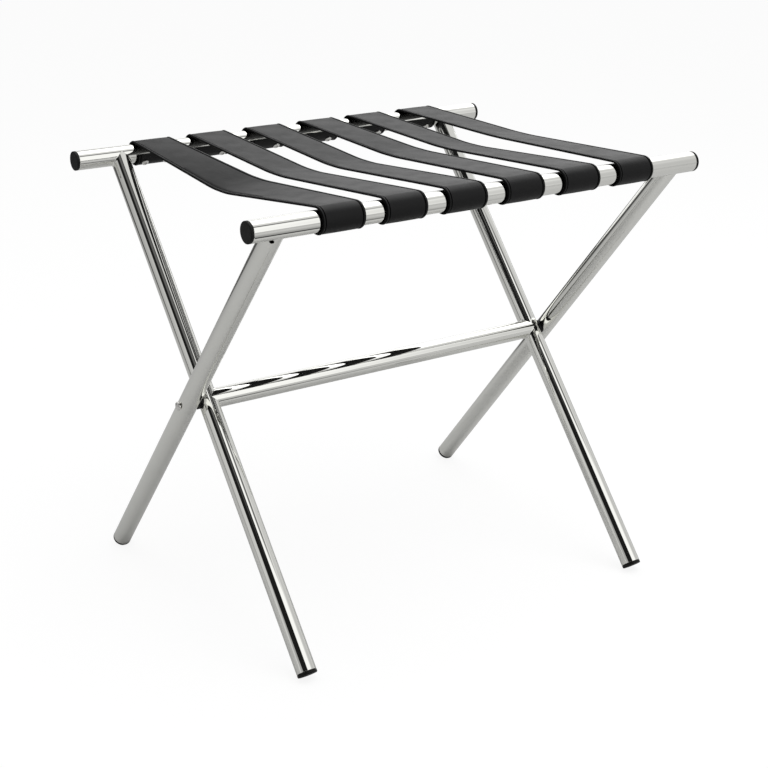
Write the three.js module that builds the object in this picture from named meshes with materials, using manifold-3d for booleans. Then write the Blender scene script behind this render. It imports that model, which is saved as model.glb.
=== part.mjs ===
// Folding luggage rack: two frames of round tube that cross on one pivot line,
// with six leather straps slung between their top rails.
// Millimetres. +X runs along the rails, +Y from the front rail to the back rail, +Z up.
// The origin is on the floor, midway between the four feet.

import * as THREE from 'three';
import { mergeVertices } from 'three/addons/utils/BufferGeometryUtils.js';
import Module from 'manifold-3d';

const wasm = await Module();
wasm.setup();

// Driving dimensions of the tubes and of the stance
const TUBE_R = 11.1;
const TUBE_WALL = 1.2;
const RAIL_HALF = 286.5;
const RAIL_Y = 201;
const RAIL_RISE = 487;
const FOOT_Y = 206;
const FOOT_FLAT = 1;
const INNER_X = 230.2;
const OUTER_X = 254.4;
const VENT_R = 2.5;
const VENT_BELOW_RAIL = 8;
const VENT_TURN = THREE.MathUtils.degToRad(60);

// Plastic plugs in the open tube ends
const FOOT_CAP = { flange: 3.4, edge: 1.1, stem: 15 };
const RAIL_CAP = { flange: 3.1, edge: 0.6, stem: 15 };
const PLUG_WALL = 1.8;

// Pivot bolts, the saddle washers between the legs and the threaded plugs in the cross tube
const BOLT_R = 3;
const BOLT_HEAD_R = 5;
const BOLT_HEAD_HEIGHT = 3.4;
const SADDLE_R = 8.2;
const INSERT_LENGTH = 20;
const BOLT_GRIP = 17;

// Straps: stiff flat leather in a loose loop round each rail, screwed to it from the inner side.
// A strap is creased at mid-span, and its slope eases over the crease and over each shoulder.
const STRAP_COUNT = 6;
const STRAP_WIDTH = 49.6;
const STRAP_PITCH = 75.2;
const STRAP_THICK = 2;
const STRAP_EDGE = 0.5;
const STRAP_END_ANGLE = THREE.MathUtils.degToRad(361);
const LOOP_R = 13.6;
const LOOP_RISE = 1.2;
const SAG = 12;
const CREASE = 30;
const SHOULDER = 40;
const SHOULDER_SLOPE = 0.35;

// Strap screws: two at each end of a strap, across its width
const SCREW_SPREAD = 13.7;
const SCREW_ANGLE = THREE.MathUtils.degToRad(316);
const SCREW_R = 1.5;
const SCREW_HEAD_R = 4.2;
const SCREW_HEAD_HEIGHT = 2.1;
const SCREW_TIP = 4;
const HEAD_RIM = 0.3;

// Fits and facets
const CLEAR = 0.3;
const ROUND = 28;
const SMALL_ROUND = 20;
const SCREW_ROUND = 10;
const HOLE_ROUND = 8;
const EDGE_STEPS = 1;
const WRAP_STEPS = 15;
const SPAN_STEPS = 10;

// Worked out from the sizes above
const BORE_R = TUBE_R - TUBE_WALL;
const LEAN = Math.atan2(RAIL_Y + FOOT_Y, RAIL_RISE);
const LEG_LENGTH = Math.hypot(RAIL_Y + FOOT_Y, RAIL_RISE);
const FOOT_Z = TUBE_R * Math.sin(LEAN) - FOOT_FLAT;
const RAIL_Z = FOOT_Z + RAIL_RISE;
const PIVOT_SHARE = RAIL_Y / (RAIL_Y + FOOT_Y);
const PIVOT_DOWN = LEG_LENGTH * PIVOT_SHARE;
const SADDLE_PLANE = (INNER_X + OUTER_X) / 2;
const LOOP_OUTER_R = LOOP_R + STRAP_THICK / 2;
const LOOP_SHIFT = LOOP_RISE * Math.sin(SCREW_ANGLE);
const SCREW_SEAT = Math.sqrt(LOOP_OUTER_R ** 2 - LOOP_RISE ** 2 + LOOP_SHIFT ** 2) + LOOP_SHIFT + CLEAR;
const SCREW_HOLE_R = SCREW_R + CLEAR;
const SIDES = { left: -1, right: 1 };

// Finishes
function finish(color, roughness, metalness) {
  return new THREE.MeshStandardMaterial({ color, roughness, metalness });
}

const CHROME = finish(0xd8d8d4, 0.08, 1);
const BRIGHT_SCREW = finish(0xe2e2de, 0.18, 1);
const BLACK_PLASTIC = finish(0x1e1e1c, 0.55, 0);
const BLACK_LEATHER = finish(0x26272a, 0.5, 0);
const ZINC = finish(0xb9b9b2, 0.35, 1);

// Solids for cutting and joining
function toSolid(geometry) {
  const bare = geometry.clone();
  bare.deleteAttribute('normal');
  bare.deleteAttribute('uv');
  const merged = mergeVertices(bare);
  const vertProperties = new Float32Array(merged.attributes.position.array);
  const triVerts = new Uint32Array(merged.index.array);
  return new wasm.Manifold(new wasm.Mesh({ numProp: 3, vertProperties, triVerts }));
}

function toGeometry(solid) {
  const { vertProperties, triVerts } = solid.getMesh();
  const geometry = new THREE.BufferGeometry();
  geometry.setAttribute('position', new THREE.BufferAttribute(new Float32Array(vertProperties), 3));
  geometry.setIndex(new THREE.BufferAttribute(new Uint32Array(triVerts), 1));
  geometry.computeVertexNormals();
  return geometry;
}

function cut(geometry, tools) {
  return toGeometry(tools.reduce((solid, tool) => solid.subtract(toSolid(tool)), toSolid(geometry)));
}

function named(name, geometry, material) {
  const mesh = new THREE.Mesh(geometry, material);
  mesh.name = name;
  return mesh;
}

// A round bar along X or along Z, between two places on that axis
function barX(radius, from, to, sides = ROUND) {
  const bar = new THREE.CylinderGeometry(radius, radius, to - from, sides);
  return bar.rotateZ(-Math.PI / 2).translate((from + to) / 2, 0, 0);
}

function barZ(radius, from, to, sides = ROUND) {
  const bar = new THREE.CylinderGeometry(radius, radius, to - from, sides);
  return bar.rotateX(Math.PI / 2).translate(0, 0, (from + to) / 2);
}

// A quarter round from a flat face at y = 0 to a side wall at radius r
function roundedEdge(r, edge) {
  const arc = new THREE.Path();
  arc.absarc(r - edge, edge, edge, -Math.PI / 2, 0, false);
  return arc.getPoints(EDGE_STEPS);
}

// A plug for a tube end: a round-edged flange at y = 0 and a hollow stem that goes up into the bore
function plugGeometry({ flange, edge, stem }) {
  const stemR = BORE_R - CLEAR;
  const profile = [
    new THREE.Vector2(0, 0),
    ...roundedEdge(TUBE_R, edge),
    new THREE.Vector2(TUBE_R, flange),
    new THREE.Vector2(stemR, flange),
    new THREE.Vector2(stemR, flange + stem),
    new THREE.Vector2(stemR - PLUG_WALL, flange + stem),
    new THREE.Vector2(stemR - PLUG_WALL, flange),
    new THREE.Vector2(0, flange),
  ];
  return new THREE.LatheGeometry(profile, ROUND);
}

// A domed fastener along +Y: the head stands on y = 0 and the shank goes down from it
function fastenerGeometry({ headR, headHeight, shankR, length, point, sides }) {
  const rim = headHeight * HEAD_RIM;
  const dome = new THREE.Path();
  dome.absellipse(0, rim, headR, headHeight - rim, 0, Math.PI / 2, false);
  const profile = [
    new THREE.Vector2(0, -length),
    new THREE.Vector2(shankR, point - length),
    new THREE.Vector2(shankR, 0),
    new THREE.Vector2(headR, 0),
    ...dome.getPoints(EDGE_STEPS),
  ];
  profile[profile.length - 1].x = 0;
  return new THREE.LatheGeometry(profile, sides);
}

// Strap places along the rails
const straps = Array.from({ length: STRAP_COUNT }, (unused, i) => {
  return { name: `strap_${i + 1}`, x: (i - (STRAP_COUNT - 1) / 2) * STRAP_PITCH };
});
const screws = straps.flatMap(({ name, x }) => [
  { name: `${name}_screw_left`, x: x - SCREW_SPREAD },
  { name: `${name}_screw_right`, x: x + SCREW_SPREAD },
]);

// Direction away from a rail's axis, at an angle that starts on the side of the other rail
// (0), and goes over the top (90), the outside (180) and the underside (270)
function awayFromRail(inward, angle) {
  return new THREE.Vector2(inward * Math.cos(angle), Math.sin(angle));
}

// The climb after a distance of a line whose slope eases from 0 to 1 over a length
function eased(distance, length) {
  const share = THREE.MathUtils.clamp(distance / length, 0, 1);
  return length * (share ** 3 - share ** 4 / 2) + Math.max(distance - length, 0);
}

// The same for a strap: it eases out of the crease, and into the shoulder that ends at its reach
function climb(distance, reach) {
  return eased(distance, CREASE) - (1 - SHOULDER_SLOPE) * eased(distance - reach + SHOULDER, SHOULDER);
}

// One half of the sling's middle line, from the crease up to the rail, then round the rail.
// Points are (y, z).
function halfStrapLine(inward) {
  const centre = new THREE.Vector2(-inward * RAIL_Y, RAIL_Z + LOOP_RISE);
  const onLoop = (angle) => awayFromRail(inward, angle).multiplyScalar(LOOP_R).add(centre);
  const leave = Math.PI / 2 - Math.atan(SHOULDER_SLOPE * SAG / climb(RAIL_Y, RAIL_Y));
  const top = onLoop(leave);
  const reach = Math.abs(top.x);
  const points = [];
  for (let i = 0; i < SPAN_STEPS; i += 1) {
    const distance = reach * i / SPAN_STEPS;
    const drop = SAG * (1 - climb(distance, reach) / climb(reach, reach));
    points.push(new THREE.Vector2(-inward * distance, top.y - drop));
  }
  for (let i = 0; i <= WRAP_STEPS; i += 1) {
    points.push(onLoop(leave + (STRAP_END_ANGLE - leave) * i / WRAP_STEPS));
  }
  return points;
}

// The middle line of every strap, from its end on the back rail to its end on the front rail
const STRAP_LINE = [...halfStrapLine(-1).slice(1).reverse(), ...halfStrapLine(1)];

// Points at half the leather's thickness to one side of the middle line
function offsetLine(line, distance) {
  return line.map((point, i) => {
    const before = line[Math.max(i - 1, 0)];
    const after = line[Math.min(i + 1, line.length - 1)];
    const along = after.clone().sub(before).normalize();
    return new THREE.Vector2(point.x - along.y * distance, point.y + along.x * distance);
  });
}

// Turns a profile drawn in (y, z) and extruded along its own third axis into place along X
const PROFILE_TO_WORLD = new THREE.Matrix4().makeBasis(
  new THREE.Vector3(0, 1, 0),
  new THREE.Vector3(0, 0, 1),
  new THREE.Vector3(1, 0, 0),
);

// Carries a shape made along +Y at the axis of a rail out along the screws' direction
function aimFromRail(geometry, inward, x, distance) {
  const out = awayFromRail(inward, SCREW_ANGLE);
  const direction = new THREE.Vector3(0, out.x, out.y);
  const turn = new THREE.Quaternion().setFromUnitVectors(new THREE.Vector3(0, 1, 0), direction);
  geometry.applyQuaternion(turn);
  const axis = new THREE.Vector3(x, -inward * RAIL_Y, RAIL_Z);
  const place = direction.multiplyScalar(distance).add(axis);
  return geometry.translate(place.x, place.y, place.z);
}

function screwHole(inward, x) {
  const depth = SCREW_SEAT - BORE_R / 2;
  const hole = new THREE.CylinderGeometry(SCREW_HOLE_R, SCREW_HOLE_R, depth, HOLE_ROUND);
  return aimFromRail(hole, inward, x, BORE_R / 2 + depth / 2);
}

function strapMesh(strap) {
  const half = STRAP_THICK / 2;
  const outline = [...offsetLine(STRAP_LINE, half), ...offsetLine(STRAP_LINE, -half).reverse()];
  const geometry = new THREE.ExtrudeGeometry(new THREE.Shape(outline), {
    depth: STRAP_WIDTH - 2 * STRAP_EDGE,
    bevelThickness: STRAP_EDGE,
    bevelSize: STRAP_EDGE,
    bevelOffset: -STRAP_EDGE,
    bevelSegments: 1,
    steps: 1,
  });
  geometry.applyMatrix4(PROFILE_TO_WORLD);
  geometry.translate(strap.x - STRAP_WIDTH / 2 + STRAP_EDGE, 0, 0);
  const places = [strap.x - SCREW_SPREAD, strap.x + SCREW_SPREAD];
  const holes = places.flatMap((x) => [screwHole(-1, x), screwHole(1, x)]);
  return named(strap.name, cut(geometry, holes), BLACK_LEATHER);
}

function screwMesh(screw, inward, rail) {
  const geometry = fastenerGeometry({
    headR: SCREW_HEAD_R,
    headHeight: SCREW_HEAD_HEIGHT,
    shankR: SCREW_R,
    length: SCREW_SEAT - BORE_R + SCREW_TIP,
    point: SCREW_TIP / 2,
    sides: SCREW_ROUND,
  });
  return named(`${rail}_${screw.name}`, aimFromRail(geometry, inward, screw.x, SCREW_SEAT), BRIGHT_SCREW);
}

// One frame, drawn flat: the rail lies on the group's X axis and the legs hang down its Z axis.
// The group then leans over, so that the legs of the two frames cross.
function frameGroup(inward) {
  const group = new THREE.Group();
  group.position.set(0, -inward * RAIL_Y, RAIL_Z);
  group.rotation.x = inward * LEAN;
  group.updateMatrixWorld();
  return group;
}

function intoGroup(geometry, group) {
  return geometry.applyMatrix4(group.matrixWorld.clone().invert());
}

// The rail's tube, drilled for the strap screws
function railMesh(rail, group, inward) {
  const end = RAIL_HALF - RAIL_CAP.flange - CLEAR;
  const holes = screws.map(({ x }) => intoGroup(screwHole(inward, x), group));
  return named(rail, cut(barX(TUBE_R, -end, end), [barX(BORE_R, -end - 1, end + 1), ...holes]), CHROME);
}

function railCapMesh(rail, side) {
  const geometry = plugGeometry(RAIL_CAP);
  geometry.rotateZ(SIDES[side] * Math.PI / 2);
  geometry.translate(SIDES[side] * RAIL_HALF, 0, 0);
  return named(`${rail}_cap_${side}`, geometry, BLACK_PLASTIC);
}

// A leg's tube: coped to the rail at the top, cut square at the foot, bored for the pivot bolt.
// An outer leg also has a vent that opens into the weld, between its outer and its lower face.
function legMesh(name, x, side, vented) {
  const outward = SIDES[side];
  const foot = LEG_LENGTH - FOOT_CAP.flange - CLEAR;
  const tools = [
    barZ(BORE_R, -foot - 1, 1),
    barX(TUBE_R + CLEAR, -2 * TUBE_R, 2 * TUBE_R),
    barX(BOLT_R + CLEAR, -2 * TUBE_R, 2 * TUBE_R, SMALL_ROUND).translate(0, 0, -PIVOT_DOWN),
  ];
  if (vented) {
    const [from, to] = [0, outward * 2 * TUBE_R].sort((a, b) => a - b);
    const vent = barX(VENT_R, from, to, SMALL_ROUND).rotateZ(-outward * VENT_TURN);
    tools.push(vent.translate(0, 0, -VENT_BELOW_RAIL));
  }
  return named(name, cut(barZ(TUBE_R, -foot, 0), tools).translate(outward * x, 0, 0), CHROME);
}

// A foot plug, worn flat where its rim stands on the floor
function footCapMesh(name, x, group) {
  const geometry = plugGeometry(FOOT_CAP);
  geometry.rotateX(Math.PI / 2);
  geometry.translate(x, 0, -LEG_LENGTH);
  const floor = new THREE.BoxGeometry(4 * RAIL_HALF, 4 * FOOT_Y, 4 * TUBE_R).translate(0, 0, -2 * TUBE_R);
  return named(name, cut(geometry, [intoGroup(floor, group)]), BLACK_PLASTIC);
}

// The cross tube between the inner legs on the pivot line, coped to them at both ends
function crossTubeMesh() {
  const legs = Object.values(SIDES).map((side) => {
    return barZ(TUBE_R + CLEAR, -2 * TUBE_R, 2 * TUBE_R).translate(side * INNER_X, 0, 0);
  });
  const bore = barX(BORE_R, -INNER_X - 1, INNER_X + 1);
  const geometry = cut(barX(TUBE_R, -INNER_X, INNER_X), [bore, ...legs]);
  return named('cross_tube', geometry.translate(0, 0, -PIVOT_DOWN), CHROME);
}

// A threaded plug inside the end of the cross tube, which takes the pivot bolt
function insertMesh(side) {
  const boreR = BOLT_R + CLEAR;
  const plugR = BORE_R - CLEAR;
  const end = INNER_X - TUBE_R - 2 * CLEAR;
  const corners = [[boreR, 0], [plugR, 0], [plugR, INSERT_LENGTH], [boreR, INSERT_LENGTH], [boreR, 0]];
  const profile = corners.map(([r, y]) => new THREE.Vector2(r, y));
  const geometry = new THREE.LatheGeometry(profile, SMALL_ROUND);
  geometry.rotateZ(SIDES[side] * Math.PI / 2);
  geometry.translate(SIDES[side] * end, 0, -PIVOT_DOWN);
  return named(`cross_tube_insert_${side}`, geometry, ZINC);
}

// A domed bolt through the outer leg, both saddles and the inner leg into the cross tube
function pivotBoltMesh(side) {
  const seat = OUTER_X + TUBE_R + CLEAR;
  const geometry = fastenerGeometry({
    headR: BOLT_HEAD_R,
    headHeight: BOLT_HEAD_HEIGHT,
    shankR: BOLT_R,
    length: seat - INNER_X + TUBE_R + BOLT_GRIP,
    point: BOLT_R / 2,
    sides: SMALL_ROUND,
  });
  geometry.rotateZ(-SIDES[side] * Math.PI / 2);
  geometry.translate(SIDES[side] * seat, 0, -PIVOT_DOWN);
  return named(`pivot_bolt_${side}`, geometry, BRIGHT_SCREW);
}

// A moulded saddle washer: hollowed to sit on its own leg, flat where it turns against the other leg's
function saddleMesh(name, x, side) {
  const outward = SIDES[side];
  const flat = SADDLE_PLANE + Math.sign(x - SADDLE_PLANE) * CLEAR / 2;
  const [from, to] = [outward * x, outward * flat].sort((a, b) => a - b);
  const leg = barZ(TUBE_R + CLEAR, -2 * TUBE_R, 2 * TUBE_R).translate(outward * x, 0, 0);
  const hole = barX(BOLT_R + CLEAR, from - 1, to + 1, SMALL_ROUND);
  const geometry = cut(barX(SADDLE_R, from, to), [leg, hole]);
  return named(name, geometry.translate(0, 0, -PIVOT_DOWN), BLACK_PLASTIC);
}

function addRailAndLegs(group, { rail, legs, x, inward, vented }) {
  group.add(railMesh(rail, group, inward));
  Object.keys(SIDES).forEach((side) => {
    group.add(railCapMesh(rail, side));
    group.add(legMesh(`${legs}_leg_${side}`, x, side, vented));
    group.add(footCapMesh(`${legs}_foot_cap_${side}`, SIDES[side] * x, group));
    group.add(saddleMesh(`${legs}_saddle_${side}`, x, side));
  });
}

// The inner frame carries the back rail, the cross tube and the pivot bolts
function innerFrame() {
  const group = frameGroup(-1);
  addRailAndLegs(group, { rail: 'back_rail', legs: 'inner', x: INNER_X, inward: -1, vented: false });
  group.add(crossTubeMesh());
  Object.keys(SIDES).forEach((side) => {
    group.add(insertMesh(side), pivotBoltMesh(side));
  });
  return group;
}

// The outer frame carries the front rail and swings on the pivot bolts
function outerFrame() {
  const group = frameGroup(1);
  addRailAndLegs(group, { rail: 'front_rail', legs: 'outer', x: OUTER_X, inward: 1, vented: true });
  return group;
}

function sling() {
  const group = new THREE.Group();
  group.add(...straps.map(strapMesh));
  group.add(...screws.map((screw) => screwMesh(screw, -1, 'back')));
  group.add(...screws.map((screw) => screwMesh(screw, 1, 'front')));
  return group;
}

const rack = new THREE.Group();
rack.name = 'luggage_rack';
rack.add(innerFrame(), outerFrame(), sling());
rack.updateMatrixWorld(true);

export default rack;
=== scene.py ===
"""Folding luggage rack: chrome tube frames, plastic plugs and a sling of six stitched leather straps."""
import logging
import math
from bisect import bisect_right
from collections.abc import Callable, Sequence
from dataclasses import dataclass, field
from enum import Enum

import bmesh
import bpy
from mathutils import Matrix, Vector


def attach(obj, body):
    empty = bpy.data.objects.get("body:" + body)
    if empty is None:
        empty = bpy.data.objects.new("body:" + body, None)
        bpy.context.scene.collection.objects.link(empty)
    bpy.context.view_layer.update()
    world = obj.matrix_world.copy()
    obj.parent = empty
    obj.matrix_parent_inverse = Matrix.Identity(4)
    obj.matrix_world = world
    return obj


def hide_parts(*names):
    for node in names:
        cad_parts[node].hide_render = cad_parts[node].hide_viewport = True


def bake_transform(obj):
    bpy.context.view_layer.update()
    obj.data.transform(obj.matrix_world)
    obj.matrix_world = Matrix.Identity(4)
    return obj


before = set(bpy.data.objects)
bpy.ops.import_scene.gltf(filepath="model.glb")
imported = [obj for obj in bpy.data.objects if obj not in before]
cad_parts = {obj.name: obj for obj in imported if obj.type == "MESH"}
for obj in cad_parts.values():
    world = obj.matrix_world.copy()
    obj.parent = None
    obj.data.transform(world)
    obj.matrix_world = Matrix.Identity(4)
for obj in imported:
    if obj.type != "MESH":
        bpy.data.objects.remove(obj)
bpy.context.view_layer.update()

log = logging.getLogger("luggage_rack")

Point = tuple[float, float]
Triple = tuple[float, float, float]
Station = Callable[[float], Vector]
Shape = bmesh.types.BMesh
Vert = bmesh.types.BMVert
Edge = bmesh.types.BMEdge
Piece = bpy.types.Object
Material = bpy.types.Material
Node = bpy.types.Node
Socket = str | int

CRISP = 35.0  # edges sharper than this, in degrees, are shaded crisp
SUPPORT = 0.02  # a ring this far from a tube's end keeps the shading of its edge apart
HEAD_BREAK = 0.0002  # the broken edge under a fastener's head
RIM_SHARE = 0.3  # how much of a domed head's height is its upright rim


class Named(Enum):
    """A choice whose name is a part of the CAD nodes' names."""

    @property
    def word(self) -> str:
        """The name as the CAD nodes write it."""
        return self.name.lower()


class Side(Named):
    """The two ends of the rails."""

    LEFT = -1
    RIGHT = 1


class Rail(Named):
    """The two top rails; the value points along Y from the rail towards the other one."""

    BACK = -1
    FRONT = 1


class Body(Enum):
    """The bodies that the pieces ride on."""

    INNER = "inner_frame"
    MIDDLE = "pivot_and_sling"
    OUTER = "outer_frame"


@dataclass(frozen=True)
class RackSizes:
    """The rack's driving dimensions in metres, as in the solids."""

    tube_r: float = 0.0111
    wall: float = 0.0012
    rail_half: float = 0.2865
    rail_y: float = 0.201
    rail_rise: float = 0.487
    foot_y: float = 0.206
    foot_flat: float = 0.001
    inner_x: float = 0.2302
    outer_x: float = 0.2544
    clear: float = 0.0003
    foot_flange: float = 0.0034
    rail_flange: float = 0.0031
    plug_stem: float = 0.015

    @property
    def bore_r(self) -> float:
        """Radius of the tube's bore."""
        return self.tube_r - self.wall

    @property
    def lean(self) -> float:
        """Angle of the legs from upright."""
        return math.atan2(self.rail_y + self.foot_y, self.rail_rise)

    @property
    def leg_length(self) -> float:
        """From the rail's axis to the end of the foot plug."""
        return math.hypot(self.rail_y + self.foot_y, self.rail_rise)

    @property
    def rail_z(self) -> float:
        """Height of the rails' axes."""
        return self.tube_r * math.sin(self.lean) - self.foot_flat + self.rail_rise

    @property
    def pivot_down(self) -> float:
        """From the rail's axis down the leg to the pivot line."""
        return self.leg_length * self.rail_y / (self.rail_y + self.foot_y)

    def frame_place(self, rail: Rail) -> Matrix:
        """Places a frame that is drawn flat: its rail on the X axis, its legs down the Z axis.

        Args:
            rail: the rail at the top of the frame.

        Returns:
            The matrix from the flat frame to the standing rack.
        """
        lift = Matrix.Translation((0.0, -rail.value * self.rail_y, self.rail_z))
        return lift @ Matrix.Rotation(rail.value * self.lean, 4, "X")


COLOUR_A, COLOUR_B, COLOUR_OUT = 6, 7, 2  # a mix node's sockets for colours
VALUE_A, VALUE_B = 2, 3  # and those for plain values


class NodeBoard:
    """A node tree with short calls to add nodes, set sockets and join them."""

    def __init__(self, tree: bpy.types.NodeTree) -> None:
        """Starts on an empty tree."""
        self.tree = tree
        self.tree.nodes.clear()

    def add(self, kind: str, sockets: dict[Socket, object] | None = None, **settings: object) -> Node:
        """Adds one node.

        Args:
            kind: the node's type name.
            sockets: values for its input sockets, by name or index.
            settings: values for its own properties.

        Returns:
            The new node.
        """
        node = self.tree.nodes.new(kind)
        for name, value in settings.items():
            setattr(node, name, value)
        for socket, value in (sockets or {}).items():
            node.inputs[socket].default_value = value
        return node

    def join(self, source: Node, out: Socket, target: Node, into: Socket) -> None:
        """Links an output socket to an input socket."""
        self.tree.links.new(source.outputs[out], target.inputs[into])

    def ramp(self, source: Node, out: Socket, stops: Sequence[Point]) -> Node:
        """Adds a grey colour ramp behind a node.

        Args:
            source: the node to read.
            out: its output socket.
            stops: pairs of place and grey level.

        Returns:
            The colour ramp node.
        """
        node = self.add("ShaderNodeValToRGB")
        marks = node.color_ramp.elements
        while len(marks) < len(stops):
            marks.new(0.5)
        for mark, (place, grey) in zip(marks, stops):
            mark.position = place
            mark.color = (grey, grey, grey, 1.0)
        self.join(source, out, node, "Fac")
        return node

    def span(self, source: Node, out: Socket, low: float, high: float,
             reads: Point = (0.3, 0.7)) -> Node:
        """Adds a map from what a node gives to a narrow range.

        Args:
            source: the node to read.
            out: its output socket.
            low: the result at the first reading.
            high: the result at the second reading.
            reads: the two readings.

        Returns:
            The map range node.
        """
        values = {"From Min": reads[0], "From Max": reads[1], "To Min": low, "To Max": high}
        node = self.add("ShaderNodeMapRange", values)
        self.join(source, out, node, "Value")
        return node


class Painter(NodeBoard):
    """The node board of a surface material around one principled shader."""

    def __init__(self, name: str, values: dict[str, object]) -> None:
        """Starts a material.

        Args:
            name: the material's name.
            values: constants set straight on the shader's sockets.
        """
        self.material = bpy.data.materials.new(name)
        self.material.use_nodes = True
        super().__init__(self.material.node_tree)
        self.shader = self.add("ShaderNodeBsdfPrincipled", values)
        output = self.add("ShaderNodeOutputMaterial")
        self.join(self.shader, "BSDF", output, "Surface")

    def where(self, stretch: Triple = (1.0, 1.0, 1.0), output: str = "Object") -> Node:
        """Adds coordinates with a stretch.

        Args:
            stretch: scale of the three axes.
            output: the coordinate to read.

        Returns:
            The mapping node.
        """
        place = self.add("ShaderNodeTexCoord")
        mapping = self.add("ShaderNodeMapping", {"Scale": stretch})
        self.join(place, output, mapping, "Vector")
        return mapping

    def noise(self, where: Node, scale: float, detail: float) -> Node:
        """Adds a noise texture.

        Args:
            where: the mapping that it lies on.
            scale: its scale.
            detail: its octaves.

        Returns:
            The noise node.
        """
        node = self.add("ShaderNodeTexNoise", {"Scale": scale, "Detail": detail})
        self.join(where, "Vector", node, "Vector")
        return node

    def relief(self, source: Node, out: Socket, strength: float, distance: float,
               under: Node | None = None) -> Node:
        """Adds a bump, over another one where given, and feeds it to the shader.

        Args:
            source: the node that gives the height.
            out: its output socket.
            strength: the bump's strength.
            distance: the height of a full step in metres.
            under: a bump that this one lies on.

        Returns:
            The bump node.
        """
        node = self.add("ShaderNodeBump", {"Strength": strength, "Distance": distance})
        self.join(source, out, node, "Height")
        if under is not None:
            self.join(under, "Normal", node, "Normal")
        self.join(node, "Normal", self.shader, "Normal")
        return node

    def tint(self, source: Node, out: Socket, first: Triple, second: Triple) -> None:
        """Feeds the base colour with a mix of two colours.

        Args:
            source: the node that gives the share of the second colour.
            out: its output socket.
            first: the colour at 0.
            second: the colour at 1.
        """
        node = self.add("ShaderNodeMix", data_type="RGBA")
        node.inputs[COLOUR_A].default_value = (*first, 1.0)
        node.inputs[COLOUR_B].default_value = (*second, 1.0)
        self.join(source, out, node, 0)
        self.join(node, COLOUR_OUT, self.shader, "Base Color")


@dataclass(frozen=True)
class Finish:
    """A finish whose tone and roughness follow one grain; its relief is its own.

    A grain, like waves and pores, is a noise's scale and detail. A relief is a bump's strength and its
    height in metres.
    """

    name: str
    grain: Point
    deep: Triple
    worn: Triple
    rough: Point
    metallic: float = 0.0
    specular: float = 0.5
    coords: str = "Object"

    def make(self) -> Material:
        """Makes the material.

        Returns:
            The material, with its relief.
        """
        paint = Painter(self.name, {"Metallic": self.metallic, "Specular IOR Level": self.specular})
        grain = paint.noise(paint.where(output=self.coords), *self.grain)
        paint.tint(grain, 0, self.deep, self.worn)
        paint.join(paint.span(grain, 0, *self.rough), 0, paint.shader, "Roughness")
        self.emboss(paint, grain)
        return paint.material

    def emboss(self, paint: Painter, grain: Node) -> None:
        """Adds the relief; a smooth finish has none."""


@dataclass(frozen=True)
class ChromePlate(Finish):
    """Bright chrome on drawn tube: a mirror with slow waves and handling haze."""

    name: str = "chrome_plate"
    grain: Point = (38.0, 4.0)
    deep: Triple = (0.86, 0.86, 0.8213)
    worn: Triple = (0.90, 0.90, 0.8595)
    rough: Point = (0.012, 0.035)
    metallic: float = 1.0
    waves: Point = (9.0, 1.0)
    wave_relief: Point = (0.035, 0.002)

    def emboss(self, paint: Painter, grain: Node) -> None:
        """Adds the slow waves of the drawn wall."""
        waves = paint.noise(paint.where(), *self.waves)
        paint.relief(waves, 0, *self.wave_relief)


@dataclass(frozen=True)
class BrightSteel(Finish):
    """Nickel-plated fasteners with a soft tumble-polished grain."""

    name: str = "bright_steel"
    grain: Point = (900.0, 3.0)
    deep: Triple = (0.7544, 0.7462, 0.7216)
    worn: Triple = (0.82, 0.8118, 0.7872)
    rough: Point = (0.12, 0.24)
    metallic: float = 1.0
    grain_relief: Point = (0.08, 0.0002)

    def emboss(self, paint: Painter, grain: Node) -> None:
        """Raises the grain a little."""
        paint.relief(grain, 0, *self.grain_relief)


@dataclass(frozen=True)
class ZincPlate(Finish):
    """Dull zinc plate on the threaded inserts."""

    name: str = "zinc_plate"
    grain: Point = (420.0, 4.0)
    deep: Triple = (0.52, 0.52, 0.50)
    worn: Triple = (0.66, 0.66, 0.63)
    rough: Point = (0.3, 0.46)
    metallic: float = 1.0


@dataclass(frozen=True)
class BlackPlastic(Finish):
    """Black moulded plastic with a fine spark-eroded texture, paler where it is scuffed."""

    name: str = "black_plastic"
    grain: Point = (160.0, 5.0)
    deep: Triple = (0.0030, 0.0030, 0.0028)
    worn: Triple = (0.0062, 0.0062, 0.0058)
    rough: Point = (0.38, 0.56)
    specular: float = 0.2
    pores: Point = (2600.0, 2.0)
    pore_relief: Point = (0.18, 0.00012)

    def emboss(self, paint: Painter, grain: Node) -> None:
        """Adds the pores of the mould's texture."""
        pores = paint.noise(paint.where(), *self.pores)
        paint.relief(pores, 0, *self.pore_relief)


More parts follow.
